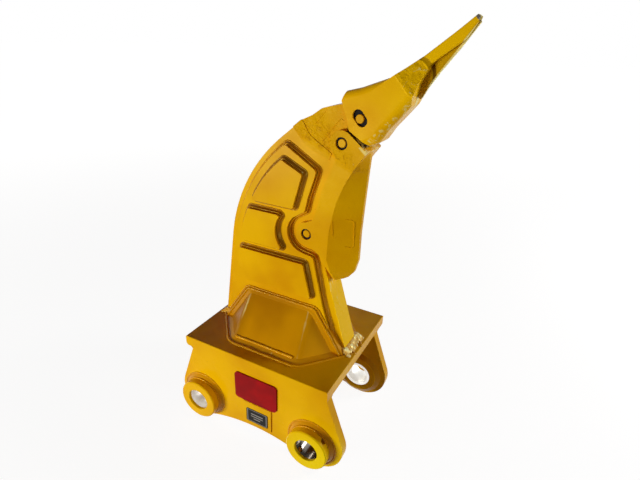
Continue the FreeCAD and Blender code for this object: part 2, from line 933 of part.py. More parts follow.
def pin_bore(label, x, z, radius, length):
    """Cylinder across the part, centred on the middle plane, in the part's frame."""
    item = doc.addObject("Part::Cylinder", label)
    item.Label = label
    item.setExpression("Radius", as_size(radius).text)
    item.setExpression("Height", as_size(length).text)
    return place(item, x, as_size(length) / 2, z, Rotation(Vector(1, 0, 0), 90))


def tooth_edges():
    """Side view of the tooth in its own frame: box, neck and chisel blade."""
    rear = [(176, 812, 4), (184, 789, 12), (196, 764, 12), (202, 737, 10), (262, 700, 0)]
    front = [(285, 711, 18), (307, 747, 120), (335, 781, 200), (359, 812, 0), (370, 868, 60), (395, 916, 20)]
    lower = [(446, 957, 30), (464, 972, 30), (483, 1006, 20)]
    tip = [(487, 1018, 1.5), (480, 1023, 1.5)]
    back = [(441, 988, 200), (376, 933, 60), (338, 903, 60), (307, 880, 0), (226, 848, 80), (186, 837, 0)]
    corners = [(in_tooth(x, z), radius) for x, z, radius in rear + front + lower + tip + back]
    return rounded(corners)


def make_tooth():
    body = new_body("tooth_blank")
    half = d.tooth_width / 2
    slab(body, tooth_edges(), -half, half)
    ease_tooth_box(body)
    narrow_tooth(body)
    ease_tooth_blade(body)
    tooth_place(body)
    whole = boolean("Part::MultiFuse", "tooth_whole", body, [make_tooth_fin()])
    socket = make_nose_body("tooth_socket", d.socket_play)
    slot = make_slot("tooth_slot", d.tooth_width)
    keep(boolean("Part::Cut", "tooth", whole, [socket, slot]))


def runs_along(edge):
    """Whether an edge runs mostly lengthwise, not across the width."""
    span = edge.valueAt(edge.LastParameter) - edge.valueAt(edge.FirstParameter)
    return abs(span.y) < span.Length * 0.6


def ease_tooth_box(body):
    """Round the long edges of the box, wide in front and narrow behind."""
    side = float(d.tooth_width) / 2 - 1
    shoulder = float(d.tooth_step - d.shoulder_length)
    lip = float(d.nose_front)

    def in_front(p, edge):
        reach = lip + shoulder / 10 * (-1 if p.z > 0 else 1)
        return abs(p.y) > side and runs_along(edge) and p.x > reach and p.z < shoulder

    def behind(p, edge):
        return abs(p.y) > side and runs_along(edge) and p.x < -lip * 0.9 and p.z > shoulder / 5

    ease(body, "Fillet", d.tooth_front_ease, in_front)
    ease(body, "Fillet", d.tooth_back_ease, behind)


def narrow_tooth(body):
    """Narrow the tooth from its box to the neck and on to the blade, the same on both sides."""
    step = d.tooth_step
    shoulder = step - d.shoulder_length
    neck = d.neck_width / 2
    blade = d.blade_width / 2
    for side in (-1, 1):
        sketch = new_sketch(body, "YZ_Plane")
        outside = d.tooth_width * side
        corners = [(d.tooth_width / 2 * side, shoulder), (neck * side, step)]
        corners += [(blade * side, step + d.neck_length), (d.tip_width / 2 * side, d.tooth_length)]
        corners += [(outside, d.tooth_length), (outside, shoulder)]
        polygon(sketch, corners)
        pocket_through(body, sketch)


def ease_tooth_blade(body):
    """Round the blade's long edges."""
    start = float(d.tooth_step + d.neck_length + d.blade_ease / 2)
    end = float(d.tooth_length - d.blade_ease * 1.5)
    narrow = float(d.tip_width) / 2 - 1

    def on_blade(p, edge):
        return abs(p.y) > narrow and runs_along(edge) and start < p.z < end

    ease(body, "Fillet", d.blade_ease, on_blade)


def make_tooth_fin():
    """Thin rib under the blade."""
    body = new_body("tooth_fin")
    places = [(360, 834, 0), (373, 828, 4), (387, 856, 20), (411, 894, 30), (452, 951, 30), (489, 1008, 3)]
    places += [(482, 1012, 2), (440, 975, 2), (380, 900, 2)]
    corners = [(in_tooth(x, z), radius) for x, z, radius in places]
    slab(body, rounded(corners), -d.fin_thick / 2, d.fin_thick / 2)
    return tooth_place(body)


def make_slot(label, length):
    """Oblong opening across the tooth, in the part's frame."""
    body = new_body(label)
    radius = float(d.slot_half_width)
    half = float(d.slot_travel) / 2
    edges = [
        arc(point(half, 0), radius, -90, 90, 1),
        line(point(half, radius), point(-half, radius)),
        arc(point(-half, 0), radius, 90, 270, 1),
        line(point(-half, -radius), point(half, -radius)),
    ]
    slab(body, edges, -length / 2, length / 2)
    return place(body, d.slot_x, 0, d.slot_z, Rotation(Vector(0, 1, 0), -d.slot_tilt.value))


def make_pin(label, x, z, length):
    body = new_body(label)
    sketch = new_sketch(body, "XZ_Plane", -length / 2)
    circle(sketch, 0, 0, d.pin_radius)
    pad(body, sketch, length)
    ease(body, "Chamfer", d.pin_chamfer, lambda p, e: abs(abs(p.y) - length.value / 2) < 0.1)
    keep(place(body, x, 0, z))


def make_tooth_fastening():
    recess = d.pin_recess
    make_pin("tooth_pin", d.tooth_pin_x, d.tooth_pin_z, d.tooth_width - recess * 2)
    for near, side in ((True, "near"), (False, "far")):
        blank = make_slot(side + "_lock_blank", d.tooth_width - recess * 4)
        bore_radius = d.pin_radius + d.pin_play / 2
        bore = pin_bore(side + "_lock_bore", d.tooth_pin_x, d.tooth_pin_z, bore_radius, d.tooth_width)
        window = make_lock_window(side + "_lock_window", near)
        ring = boolean("Part::MultiCommon", side + "_lock_core", blank, [window])
        keep(boolean("Part::Cut", side + "_tooth_lock", ring, [bore]))


def make_lock_window(label, near):
    """Slice of one side wall of the tooth, where the lock sits."""
    low, high = side_span(near, d.nose_width / 2 + d.socket_play, d.lock_thick)
    item = doc.addObject("Part::Box", label)
    item.Label = label
    item.setExpression("Length", (d.slot_half_width * 6).text)
    item.setExpression("Width", d.lock_thick.text)
    item.setExpression("Height", (d.slot_half_width * 6).text)
    return place(item, d.slot_x - d.slot_half_width * 3, low, d.slot_z - d.slot_half_width * 3)


# Shank protector: two cheeks pinned over the shank, joined by a blunt keel in front.


def cheek_edges():
    """Side view of a protector cheek with its two pin lugs."""
    upper = point(d.upper_pin_x, d.upper_pin_z)
    lower = point(d.lower_pin_x, d.lower_pin_z)
    lug = float(d.upper_lug_radius)
    low = float(d.lower_lug_radius) * 1.02
    brow = point(259, 684)
    waist = upper + point(-12, -40)
    start = touch_angle(upper, lug, brow, 1)
    end = touch_angle(upper, lug, waist, -1) + 360
    middle = (start + end) / 2
    corners = [arc_corner(upper, lug, start, middle), arc_corner(upper, lug, middle, end), (waist, 20)]
    corners += [(point(129, 560), 300), (point(112, 492), 60), (point(101, 455), 22), (point(76, 443), 12)]
    corners += [(lower + point(-low, low), low * 0.96), (lower + point(-low, -low), low * 0.96)]
    corners += [(lower + point(20, -low - 6), 20), (point(150, 328), 4)]
    corners += [(point(157, 430), 300), (point(172, 520), 400), (point(212, 617), 500), (brow, 4)]
    return rounded(corners)


def keel_section(body, z, root, side, nose, half):
    """One level of the keel, as wide as the cheeks behind and blunt in front."""
    sketch = new_sketch(body, "XY_Plane", z)
    blunt = d.keel_nose
    polygon(sketch, [(root, -half), (side, -half), (nose, -blunt), (nose, blunt), (side, half), (root, half)])
    return sketch


def make_protector():
    half = d.shank_thick / 2 + d.cheek_play + d.cheek_thick
    cheeks = new_body("protector_cheeks")
    slab(cheeks, cheek_edges(), -half, half)
    place(cheeks)
    keel = new_body("protector_keel")
    # Each level: height, back at the middle, back at the side, front, share of the full width.
    levels = [(254, 168, 173, 184, 0.4), (260, 168, 174, 196, 0.5), (271, 166, 172, 212, 0.68)]
    levels += [(292, 158, 165, 229, 0.86), (335, 130, 153, 240, 1), (430, 130, 156, 240, 1)]
    levels += [(520, 150, 174, 244, 1), (600, 180, 204, 248, 1), (684, 226, 246, 253, 1)]
    sections = [keel_section(keel, z, root, x, nose, half * share) for z, root, x, nose, share in levels]
    loft(keel, sections)
    place(keel)
    solid = boolean("Part::MultiFuse", "protector_solid", cheeks, [keel])
    slot = new_body("protector_slot")
    slab(slot, shank_edges(), -half + d.cheek_thick, half - d.cheek_thick)
    place(slot)
    throat = new_body("protector_throat")
    front = joint_corners()[2]
    corners = [front + point(*gap) for gap in ((-60, -12), (0, 0), (74, 88.5), (0, 170), (-128, 130))]
    slab(throat, rounded([(corner, 0) for corner in corners]), -half + d.cheek_thick, half - d.cheek_thick)
    place(throat)
    tools = [slot, throat]
    for name, x, z in (("upper", d.upper_pin_x, d.upper_pin_z), ("lower", d.lower_pin_x, d.lower_pin_z)):
        tools.append(pin_bore("protector_%s_bore" % name, x, z, d.pin_hole_radius, half * 2.2))
    keep(boolean("Part::Cut", "shank_protector", solid, tools))
    rings = []
    for name, x, z in (("upper", d.upper_pin_x, d.upper_pin_z), ("lower", d.lower_pin_x, d.lower_pin_z)):
        make_pin("protector_%s_pin" % name, x, z, half * 2 - d.pin_recess * 2)
        for near, side in ((True, "near"), (False, "far")):
            rings.append(make_retainer("%s_%s_retainer" % (side, name), x, z, near))
    group("pin_retainers", rings)


def make_retainer(label, x, z, near):
    """Ring that holds a protector pin in its cheek hole."""
    body = new_body(label)
    low, high = side_span(near, d.shank_thick / 2 + d.cheek_play, d.retainer_thick)
    sketch = new_sketch(body, "XZ_Plane", -high)
    circle(sketch, 0, 0, d.pin_hole_radius - d.retainer_play)
    circle(sketch, 0, 0, d.pin_radius + d.retainer_play)
    pad(body, sketch, d.retainer_thick)
    return place(body, x, 0, z)


# Feet of the shank: bent gusset plates and their welds, badge and label plates.


def boot_corners(top, extra=0.0):
    """Plan of a boot's outer faces at its foot or top, its open side run on by an extra."""
    face = float(d.shank_thick) / 2
    depth = float(d.boot_reach) - face
    # Each wing keeps one direction from foot to top, so that it stays flat.
    rear_slope = float(d.boot_wing_rear - d.boot_rear) / depth
    front_slope = float(d.boot_wing_front - d.boot_front) / depth
    sizes = (d.boot_rear, d.boot_front, d.boot_reach)
    if top:
        sizes = (d.boot_top_rear, d.boot_top_front, d.boot_top_reach)
    rear, front, reach = (float(size) for size in sizes)
    opening = face - float(extra)
    run = reach - opening
    return [
        (point(-rear - rear_slope * run, opening), 0),
        (point(front + front_slope * run, opening), 0),
        (point(front, reach), float(d.boot_corner)),
        (point(-rear, reach), float(d.boot_corner)),
    ]


def boot_side(across, low):
    """Side view of a boot at a distance across, cut off at a height above its foot."""
    feet = []
    tops = []
    for corners, ends in ((boot_corners(False), feet), (boot_corners(True), tops)):
        for inner, outer in ((corners[0][0], corners[3][0]), (corners[1][0], corners[2][0])):
            share = (float(across) - inner.y) / (outer.y - inner.y)
            ends.append(inner.x + (outer.x - inner.x) * share)
    rise = float(low) / float(d.boot_height)
    rear, front = (foot + (top - foot) * rise for foot, top in zip(feet, tops))
    corner = float(d.boot_top_corner)
    return [
        (point(rear, low), 0),
        (point(front, low), 0),
        (point(tops[1], d.boot_height), corner),
        (point(tops[0], d.boot_height), corner),
    ]


def plan_sketch(body, corners, height, near):
    """Plan outline at a height, drawn for the far side and mirrored for the near one."""
    sketch = new_sketch(body, "XY_Plane", height)
    side = -1 if near else 1
    draw(sketch, rounded([(point(corner.x, corner.y * side), radius) for corner, radius in corners]))
    return sketch


def boot_core(label, near):
    """Boot without its hollow, its two long corners rounded where the plate is bent."""
    body = new_body(label)
    foot = plan_sketch(body, boot_corners(False), as_size(0), near)
    head = plan_sketch(body, boot_corners(True), d.boot_height, near)
    loft(body, [foot, head])
    return body


def make_boot(side, near, tools):
    """Bent plate of one boot, open behind, fitted round the layers of the shank."""
    body = boot_core(side + "_boot_plate", near)
    wall = -float(d.boot_wall)
    sketches = []
    for top, height in ((False, as_size(0)), (True, d.boot_height)):
        inside = grown(boot_corners(top, d.boot_wall * 2), wall)
        sketches.append(plan_sketch(body, inside, height, near))
    loft(body, sketches, "PartDesign::SubtractiveLoft")
    keep(boolean("Part::Cut", side + "_boot", place(body), tools))


def make_foot_weld(side, near, tools):
    """Fillet weld round the foot of a boot."""
    body = new_body(side + "_foot_fillet")
    leg = float(d.foot_weld)
    lean = float(d.boot_reach - d.boot_top_reach) / float(d.boot_height)
    toe = plan_sketch(body, grown(boot_corners(False), leg), as_size(0), near)
    inset = -lean * float(d.foot_weld_height)
    head = plan_sketch(body, grown(boot_corners(False), inset), d.foot_weld_height, near)
    loft(body, [toe, head])
    return keep(boolean("Part::Cut", side + "_foot_weld", place(body), tools))


def make_boot_weld(side, near, tools):
    """Fillet weld up both wings of a boot and over its top, on the doubler and the shank."""
    body = new_body(side + "_boot_fillet")
    leg = d.boot_weld
    inner = d.shank_thick / 2
    face = inner + d.doubler_thick
    height = d.boot_top_reach - face
    slab(body, rounded(grown(boot_side(face, leg), leg)), *side_span(near, inner, d.doubler_thick))
    sketches = []
    for rise, width in ((0, 1), (0.45, 0.72), (1, 0.08)):
        across = face + height * rise
        sketch = new_sketch(body, "XZ_Plane", across if near else -across)
        draw(sketch, rounded(grown(boot_side(across, leg), leg * width)))
        sketches.append(sketch)
    loft(body, sketches)
    keep(boolean("Part::Cut", side + "_boot_weld", place(body), tools))


def make_foot(side, near, shank, doubler):
    """Boot with its welds, and the doubler's bead where the boot leaves it open."""
    make_boot(side, near, [shank, doubler])
    core = place(boot_core(side + "_boot_core", near))
    foot_weld = make_foot_weld(side, near, [core, shank, doubler])
    bead = place(make_bead(side + "_doubler_run", doubler_corners(), near, d.shank_thick / 2))
    doubler_bead = keep(boolean("Part::Cut", side + "_doubler_bead", bead, [core, foot_weld]))
    make_boot_weld(side, near, [core, shank, doubler, foot_weld, doubler_bead])
    return core


def make_end_weld(label, x, way, low, high, shank):
    """Fillet weld across the foot of the shank's front or rear edge."""
    body = new_body(label + "_fillet")
    leg = d.end_weld * way
    toe = new_sketch(body, "XY_Plane")
    inside = x - leg * 2
    polygon(toe, [(inside, low), (x + leg, low), (x + leg, high), (inside, high)])
    head = new_sketch(body, "XY_Plane", d.end_weld)
    outside = x - leg * 0.15
    draw_in = d.end_weld_end
    corners = [(inside, low + draw_in), (outside, low + draw_in)]
    polygon(head, corners + [(outside, high - draw_in), (inside, high - draw_in)])
    loft(body, [toe, head])
    place(body)
    keep(boolean("Part::Cut", label, body, shank))


def make_adapter_weld(shank, adapter):
    """Ground weld band that covers the joint between shank and adapter."""
    body = new_body("adapter_weld_band")
    back, middle, front = joint_corners()
    along = head_line(0)[1]
    out = turned_left(along)
    over = float(d.adapter_weld)
    wide = float(d.adapter_weld_width)
    rear_high = back + along * 7 + out * over
    rear_low = back - along * wide + out * over
    corners = [(rear_high, 2), (back + along * 9 - out * 9, 12), (middle + point(3, 4), 60)]
    corners += [(point(148, 664), 4), (point(140, 664 - wide * 0.8), 4), (middle + point(-10, -wide), 60)]
    corners += [(rear_low - out * 14, 12), (rear_low, 2)]
    half = d.shank_thick / 2 + d.adapter_weld
    slab(body, rounded(corners), -half, half)
    place(body)
    keep(boolean("Part::Cut", "adapter_weld", body, [shank, adapter]))


def make_plate(label, rear, drop, length, height, thick, corner, out):
    """Small plate with rounded corners on the near ear, its rear end and top edge given."""
    body = new_body(label)
    left = -float(rear)
    top = -float(drop)
    radius = float(corner)
    corners = [point(left, top), point(left + float(length), top)]
    corners += [point(left + float(length), top - float(height)), point(left, top - float(height))]
    face = -d.plate_width / 2 - out
    slab(body, rounded([(spot, radius) for spot in corners]), face - thick, face)
    keep(place(body))


def make_plates():
    base_drop = d.badge_drop + d.badge_height + 5
    none = as_size(0)
    make_plate("badge_plate", d.badge_rear, d.badge_drop, d.badge_length, d.badge_height, d.badge_thick,
               d.badge_corner, none)
    make_plate("label_mount", d.label_base_rear, base_drop, d.label_base_length, d.label_base_height,
               d.label_base_thick, d.edge_break, none)
    margin = (d.label_base_length - d.label_length) / 2
    drop = base_drop + d.label_base_height - d.label_height - d.label_margin_low
    make_plate("label_plate", d.label_base_rear - margin, drop, d.label_length, d.label_height,
               d.label_thick, d.label_corner, d.label_base_thick)


def make_all():
    fill_sheet()
    make_mounting()
    make_shank()
    shank = pieces[-1]
    cores = []
    for near, side in ((True, "near"), (False, "far")):
        doubler = make_doubler(side + "_doubler", near)
        make_panels(side, near)
        cores.append(make_foot(side, near, shank, doubler))
    ends = ("foot_weld", "boot_weld", "doubler_bead", "doubler")
    tools = [shank] + cores + [item for item in pieces if item.Label.endswith(ends)]
    make_end_weld("front_foot_weld", d.shank_front_foot, 1, -d.end_weld_near, d.end_weld_far, tools)
    make_end_weld("rear_foot_weld", -d.shank_rear_foot, -1, -d.end_weld_near, d.end_weld_near, tools)
    make_adapter()
    make_adapter_weld(shank, pieces[-1])
    make_tooth()
    make_tooth_fastening()
    make_protector()
    make_plates()


def check_and_write():
    doc.recompute()
    faults = [item.Label for item in doc.Objects if "Invalid" in item.State or "Error" in item.State]
    if faults:
        raise RuntimeError("not valid: " + ", ".join(faults))
    for item in pieces:
        shape = item.Shape
        if shape.isNull() or not shape.isValid() or not shape.Solids:
            raise RuntimeError("%s has no valid solid" % item.Label)
    for item in pieces:
        item.Shape.exportStep("parts/%s.step" % item.Label)
    print(len(pieces), "pieces written")


make_all()
check_and_write()
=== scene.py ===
import math

import bmesh
import bpy
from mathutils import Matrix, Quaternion, Vector


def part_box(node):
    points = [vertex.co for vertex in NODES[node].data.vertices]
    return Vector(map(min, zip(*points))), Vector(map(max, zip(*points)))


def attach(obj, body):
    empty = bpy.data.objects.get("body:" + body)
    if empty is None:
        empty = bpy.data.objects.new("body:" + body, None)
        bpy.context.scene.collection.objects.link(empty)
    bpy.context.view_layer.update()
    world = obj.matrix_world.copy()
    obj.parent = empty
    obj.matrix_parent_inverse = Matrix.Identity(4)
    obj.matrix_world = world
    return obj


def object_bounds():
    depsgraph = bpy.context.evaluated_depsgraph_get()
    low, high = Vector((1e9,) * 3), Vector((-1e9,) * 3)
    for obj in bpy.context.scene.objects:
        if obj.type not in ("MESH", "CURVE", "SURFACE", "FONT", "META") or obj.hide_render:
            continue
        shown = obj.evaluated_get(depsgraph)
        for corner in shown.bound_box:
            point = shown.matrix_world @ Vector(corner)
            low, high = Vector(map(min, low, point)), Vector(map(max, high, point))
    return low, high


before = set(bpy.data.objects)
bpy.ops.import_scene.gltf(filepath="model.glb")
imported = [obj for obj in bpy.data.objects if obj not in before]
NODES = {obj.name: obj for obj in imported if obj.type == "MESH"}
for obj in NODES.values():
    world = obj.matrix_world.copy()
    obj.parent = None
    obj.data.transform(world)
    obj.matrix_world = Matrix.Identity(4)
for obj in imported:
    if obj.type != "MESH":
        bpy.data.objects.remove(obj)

# Dressing for a single-shank ripper that stands on its mounting ears, in metres.
# The origin is the axis of the front pin bores, Y runs along the bores and Z is up.

CAD_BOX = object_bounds()
GROUND = CAD_BOX[0][2]


# Shader maths


class Value:
    """An output of a node, on which arithmetic adds Math nodes."""

    def __init__(self, owner, socket):
        self.owner = owner
        self.socket = socket

    def maths(self, operation, *others):
        return self.owner.get(0, "ShaderNodeMath", {"operation": operation}, [self, *others])

    def __add__(self, other):
        return self.maths("ADD", other)

    __radd__ = __add__

    def __sub__(self, other):
        return self.maths("SUBTRACT", other)

    def __rsub__(self, other):
        return (self * -1) + other

    def __mul__(self, other):
        return self.maths("MULTIPLY", other)

    __rmul__ = __mul__

    def __truediv__(self, other):
        return self.maths("DIVIDE", other)

    def __pow__(self, other):
        return self.maths("POWER", other)

    def __abs__(self):
        return self.maths("ABSOLUTE")

    def most(self, other):
        return self.maths("MAXIMUM", other)

    def step(self, low, high):
        """0 below low, 1 above high, with a soft rise between."""
        settings = {"interpolation_type": "SMOOTHSTEP"}
        inputs = {"Value": self, "From Min": low, "From Max": high}
        return self.owner.get(0, "ShaderNodeMapRange", settings, inputs)

    def fade(self, low, high):
        """1 below low, 0 above high, with a soft fall between."""
        return 1 - self.step(low, high)

    def band(self, start, full, fading, end):
        """1 from full to fading, 0 before start and after end."""
        return self.step(start, full) * self.fade(fading, end)


class Nodes:
    """A tree of nodes that is built from values."""

    def __init__(self, tree):
        self.tree = tree
        self.tree.nodes.clear()

    def add(self, kind, settings, inputs):
        """A node of a kind, its settings first, then its sockets by name or in order."""
        node = self.tree.nodes.new(kind)
        for name, value in settings.items():
            setattr(node, name, value)
        pairs = inputs.items() if isinstance(inputs, dict) else enumerate(inputs)
        for key, value in pairs:
            socket = node.inputs[key]
            if isinstance(value, Value):
                self.tree.links.new(value.socket, socket)
            else:
                socket.default_value = value
        return node

    def get(self, output, kind, settings, inputs):
        """One output of a new node, by name or place."""
        return Value(self, self.add(kind, settings, inputs).outputs[output])

    def blend(self, factor, first, second):
        """Colour between two colours."""
        inputs = {0: factor, 6: rgba(first), 7: rgba(second)}
        return self.get(2, "ShaderNodeMix", {"data_type": "RGBA"}, inputs)

    def seen(self):
        """1 for rays that see the surroundings: straight, through glass or as a reflection."""
        rays = self.add("ShaderNodeLightPath", {}, {})
        kinds = ("Camera", "Transmission", "Glossy")
        camera, clear, glossy = (Value(self, rays.outputs[f"Is {kind} Ray"]) for kind in kinds)
        return camera.most(clear).most(glossy)


class Finish(Nodes):
    """A procedural material, built from values that read the object's own coordinates."""

    def __init__(self, name):
        self.material = bpy.data.materials.new(name)
        self.material.use_nodes = True
        super().__init__(self.material.node_tree)
        self.place = self.get("Object", "ShaderNodeTexCoord", {}, {})
        split = self.add("ShaderNodeSeparateXYZ", {}, [self.place])
        self.x, self.y, self.z = (Value(self, socket) for socket in split.outputs)

    def join(self, x, y, z):
        return self.get(0, "ShaderNodeCombineXYZ", {}, [x, y, z])

    def noise(self, scale, detail=2.0, roughness=0.5, place=None, distortion=0.0):
        inputs = {"Vector": place or self.place, "Scale": scale, "Detail": detail}
        inputs.update({"Roughness": roughness, "Distortion": distortion})
        return self.get(0, "ShaderNodeTexNoise", {}, inputs)

    def cells(self, scale, place=None):
        """Distance to the middle of soft-edged cells."""
        inputs = {"Vector": place or self.place, "Scale": scale}
        return self.get("Distance", "ShaderNodeTexVoronoi", {"feature": "SMOOTH_F1"}, inputs)

    def ahead_of(self, line):
        """Distance ahead of a line in the side view, through a point and with a lean backward."""
        x, z, lean = line
        return self.x - x + (self.z - z) * lean

    def above(self, line):
        """Distance above a line in the side view, through a point and with a fall forward."""
        x, z, fall = line
        return self.z - z + (self.x - x) * fall

    def uneven(self, scale, least, spread):
        """Roughness that drifts up from its least value."""
        return self.noise(scale, 3.0, 0.6).step(0.3, 0.8) * spread + least

    def bump(self, height, strength, distance, normal=None):
        inputs = {"Height": height, "Strength": strength, "Distance": distance}
        if normal is not None:
            inputs["Normal"] = normal
        return self.get(0, "ShaderNodeBump", {}, inputs)

    def skin(self, height, strength, distance):
        """Orange-peel surface of sprayed paint over a coarser relief."""
        relief = self.bump(height, strength, distance)
        return self.bump(self.noise(160.0), 0.1, 0.0006, relief)

    def surface(self, **sockets):
        """Finish with a Principled surface; spaces in socket names are written as underscores."""
        inputs = {name.replace("_", " "): value for name, value in sockets.items()}
        shader = self.add("ShaderNodeBsdfPrincipled", {}, inputs)
        output = self.add("ShaderNodeOutputMaterial", {}, {})
        self.tree.links.new(shader.outputs[0], output.inputs[0])
        return self.material

    def painted(self, colour, roughness, normal, gloss=0.08, **others):
        """Finish with clear paint, whose reflections take its golden tone."""
        golden = {"Specular_IOR_Level": gloss, "Specular_Tint": rgba(GOLDEN)}
        return self.surface(Base_Color=colour, Roughness=roughness, Normal=normal, **golden, **others)


def rgba(colour):
    return colour if isinstance(colour, Value) else (*colour, 1.0)


def linear(part):
    """Linear light from a share of the screen's full brightness."""
    return part / 12.92 if part <= 0.04045 else ((part + 0.055) / 1.055) ** 2.4


def hexed(code):
    """Linear colour from a six-figure screen colour."""
    return tuple(linear(int(code[place:place + 2], 16) / 255) for place in (0, 2, 4))


# Finishes

YELLOW = hexed("F1B902")
AMBER = hexed("DC9A01")
DEEP_AMBER = hexed("B87802")
LEMON = hexed("FFE005")
EDGE_YELLOW = hexed("FFD004")
CAST_YELLOW = hexed("FFCA05")
CAST_AMBER = hexed("EEAB02")
NECK_YELLOW = hexed("FFC905")
BOOT_YELLOW = hexed("E5A404")
BOOT_AMBER = hexed("D79502")
BOOT_BROWN = hexed("A46A02")
BEAD_AMBER = hexed("B67A02")
BEAD_BROWN = hexed("8C5802")
SHADE = hexed("6E4500")
PAINTED_GAP_SHADE = hexed("241400")
GLINT = hexed("FFF6A0")
WELD_GLINT = hexed("FFF7B4")
BARE_STEEL = hexed("5A5653")
GOLDEN = (1.0, 0.78, 0.12)


def paint_tones(finish, light=YELLOW, deep=AMBER):
    """Sprayed yellow with slow shifts of tone and fine specks of dust."""
    slow = finish.noise(3.5, 3.0, 0.55).step(0.38, 0.72)
    specks = finish.noise(90.0, 3.0, 0.7).step(0.66, 0.74)
    return finish.blend(specks * 0.4, finish.blend(slow, light, deep), DEEP_AMBER)


def make_plate_paint():
    """Sprayed paint, with painted light: the near side of the front corner and the near collar's face
    are painted a lighter lemon.
    """
    finish = Finish("plate_paint")
    corner = (finish.x + finish.noise(6.0) * 0.06).step(-0.14, 0.06) * finish.z.fade(0.0, 0.17)
    near_side = finish.y.fade(-0.24, -0.20)
    collar_face = finish.y.fade(-0.272, -0.268)
    # Painted light: lighter lemon on the near side of the front corner and on the collar's face.
    painted_front_light = corner * near_side * 0.55 + collar_face * corner * 0.35
    return finish.painted(
        finish.blend(painted_front_light, paint_tones(finish), LEMON),
        finish.uneven(9.0, 0.22, 0.14),
        finish.skin(finish.noise(14.0), 0.12, 0.004),
    )


# How far forward the boot's folds lie at its foot and at its top.
REAR_FOLD = (-0.3505, -0.3425)
FRONT_FOLD = (-0.1025, -0.1135)


def make_boot_paint():
    """Plate paint in darker tones as painted shade, browner toward the rear, with painted highlights
    along the folds.
    """
    finish = Finish("boot_paint")
    low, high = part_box("near_boot")
    rise = (finish.z - low.z) / (high.z - low.z)

    def off_fold(fold, scale, wander):
        foot, top = fold
        return abs(finish.x - foot - rise * (top - foot)) + finish.noise(scale, 2.0, 0.6) * wander

    # Painted highlights: pale bands along the boot's rounded rear and front folds.
    rear_fold_highlight = off_fold(REAR_FOLD, 30.0, 0.008).fade(0.005, 0.010)
    front_fold_highlight = off_fold(FRONT_FOLD, 26.0, 0.010).fade(0.005, 0.009)
    fold_highlights = (rear_fold_highlight * 0.55 + front_fold_highlight * 0.35) * finish.noise(9.0).step(0.42, 0.60)
    # Painted shade: tones darker than the plate paint's. They turn browner toward the rear and
    # yellower toward the front.
    colour = paint_tones(finish, BOOT_AMBER, DEEP_AMBER)
    colour = finish.blend(finish.x.fade(-0.37, -0.30), colour, BOOT_BROWN)
    colour = finish.blend(finish.x.step(-0.13, -0.06), colour, BOOT_YELLOW)
    return finish.painted(
        finish.blend(fold_highlights, colour, GLINT),
        finish.uneven(9.0, 0.2, 0.12),
        finish.skin(finish.noise(14.0), 0.12, 0.004),
    )


# Lines in the side view, each with a point on it, forward and up, and its lean or fall.
SHANK_FRONT = (-0.0305, 0.382, 0.309)
ADAPTER_FOOT = (-0.06, 0.87, 0.42)
PROTECTOR_HEAD = (0.03, 0.905, 0.9)


def make_shank_paint():
    """Plate paint with wavy filler on the front edge below the protector; painted light on that edge,
    painted glints on the filler.
    """
    finish = Finish("shank_paint")
    front_edge = finish.ahead_of(SHANK_FRONT).step(-0.004, -0.001) * finish.z.fade(0.49, 0.50)
    filler = front_edge * finish.z.band(0.335, 0.40, 0.47, 0.50)
    waves = finish.noise(24.0, 3.0, 0.6, finish.join(finish.x, finish.y * 1.6, finish.z * 0.8), 0.8)
    # Painted glints on the crests of the filler's waves.
    painted_sheen = waves.step(0.60, 0.68) * filler * 0.5
    # Painted light: lighter yellows on the front edge.
    lit_edge_tones = finish.blend(waves, CAST_YELLOW, EDGE_YELLOW)
    colour = finish.blend(front_edge, paint_tones(finish), lit_edge_tones)
    return finish.painted(
        finish.blend(painted_sheen, colour, GLINT),
        finish.uneven(9.0, 0.22, 0.14) - painted_sheen * 0.1,
        finish.skin(waves * filler + finish.noise(14.0) * 0.12, 0.5, 0.006),
    )


def make_weld_paint(name="weld_paint", light=AMBER, deep=DEEP_AMBER):
    """Paint over weld runs, with lumps in its relief and painted glints."""
    finish = Finish(name)
    lumps = finish.noise(70.0, 3.0, 0.6)
    # Painted glints: pale specks over the runs.
    glints = finish.noise(38.0, 4.0, 0.65).step(0.66, 0.72)
    return finish.painted(
        finish.blend(glints * 0.45, paint_tones(finish, light, deep), GLINT),
        lumps.step(0.3, 0.7) * 0.12 + 0.14,
        finish.bump(lumps, 0.3, 0.003),
        gloss=0.25,
    )


def make_glint_weld():
    """Coarse weld at the shank's front foot, whose drops are painted almost white as painted glints.
    """
    finish = Finish("glint_weld")
    drops = finish.cells(75.0)
    edges = finish.noise(60.0, 4.0, 0.7)
    seams = (drops + edges * 0.012).step(0.25, 0.5)
    # Painted glints on the weld's drops.
    painted_shine = edges.step(0.38, 0.50) * (1 - seams * 0.7)
    return finish.painted(
        finish.blend(painted_shine, AMBER, WELD_GLINT),
        edges * 0.1 + 0.16,
        finish.bump(drops * -1 + edges * 0.4, 0.8, 0.004),
        gloss=0.5,
    )


